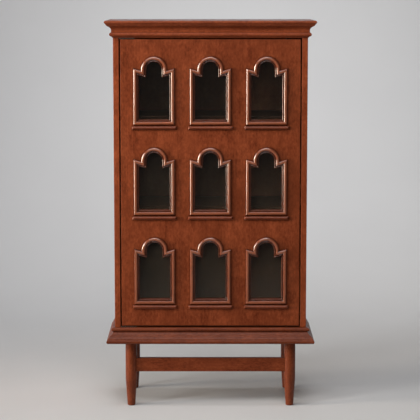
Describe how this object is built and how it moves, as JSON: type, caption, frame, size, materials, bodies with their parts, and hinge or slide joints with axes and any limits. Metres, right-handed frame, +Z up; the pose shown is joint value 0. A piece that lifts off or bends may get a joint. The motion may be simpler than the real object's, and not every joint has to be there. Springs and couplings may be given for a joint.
{
  "type": "display cabinet",
  "caption": "Tall wooden display cabinet on turned legs, with one flush push-to-open door of keyhole-arched glazed windows in raised mouldings.",
  "frame": {"origin": "on the floor, in the middle of the cabinet's own bounding box", "axes": "+Z up, +X to the right as seen from the front, +Y to the back; the door faces -Y"},
  "size_m": [0.806, 0.377, 1.5],
  "materials": {
    "mahogany": "satin lacquer over red-brown stain",
    "inner_wood": "matt lacquer",
    "glass": "clear float glass",
    "steel": "zinc plated",
    "plastic": "matt black"
  },
  "bodies": {
    "case": {"back_panel": "inner_wood", "base_moulding_front": "mahogany", "base_moulding_left": "mahogany", "base_moulding_right": "mahogany", "base_rail_back": "inner_wood", "base_rail_front": "mahogany", "bottom_panel": "inner_wood", "corner_blocks": "inner_wood", "cornice_front": "mahogany", "cornice_left": "mahogany", "cornice_right": "mahogany", "hanger_bolts": "steel", "latch_housing": "plastic", "leg_back_left": "mahogany", "leg_back_right": "mahogany", "leg_front_left": "mahogany", "leg_front_right": "mahogany", "pivot_plate_lower": "steel", "pivot_plate_upper": "steel", "shelf_lower": "inner_wood", "shelf_pins": "steel", "shelf_upper": "inner_wood", "side_panel_left": "mahogany", "side_panel_right": "mahogany", "stretcher_front": "mahogany", "stretcher_left": "mahogany", "stretcher_right": "mahogany", "top_board": "mahogany", "top_panel": "inner_wood"},
    "door": {"door_panel": "mahogany", "glass_centre": "glass", "glass_lower": "glass", "glass_upper": "glass", "glazing_beads_centre": "mahogany", "glazing_beads_lower": "mahogany", "glazing_beads_upper": "mahogany", "latch_strike": "steel", "pivot_socket_lower": "steel", "pivot_socket_upper": "steel", "window_moulding_centre_left": "mahogany", "window_moulding_centre_middle": "mahogany", "window_moulding_centre_right": "mahogany", "window_moulding_lower_left": "mahogany", "window_moulding_lower_middle": "mahogany", "window_moulding_lower_right": "mahogany", "window_moulding_upper_left": "mahogany", "window_moulding_upper_middle": "mahogany", "window_moulding_upper_right": "mahogany", "window_sill_centre_left": "mahogany", "window_sill_centre_middle": "mahogany", "window_sill_centre_right": "mahogany", "window_sill_lower_left": "mahogany", "window_sill_lower_middle": "mahogany", "window_sill_lower_right": "mahogany", "window_sill_upper_left": "mahogany", "window_sill_upper_middle": "mahogany", "window_sill_upper_right": "mahogany"},
    "plunger": {"latch_plunger": "plastic"}
  },
  "joints": [
    {"name": "door_hinge", "type": "hinge", "parent": "case", "child": "door", "pos_m": [-0.33, -0.1475, 0], "axis": [0, 0, -1], "range_deg": [0, 110]},
    {"name": "latch_push", "type": "slide", "parent": "case", "child": "plunger", "axis": [0, 1, 0], "range_m": [0, 0.003], "stiffness_N_per_m": 400}
  ]
}
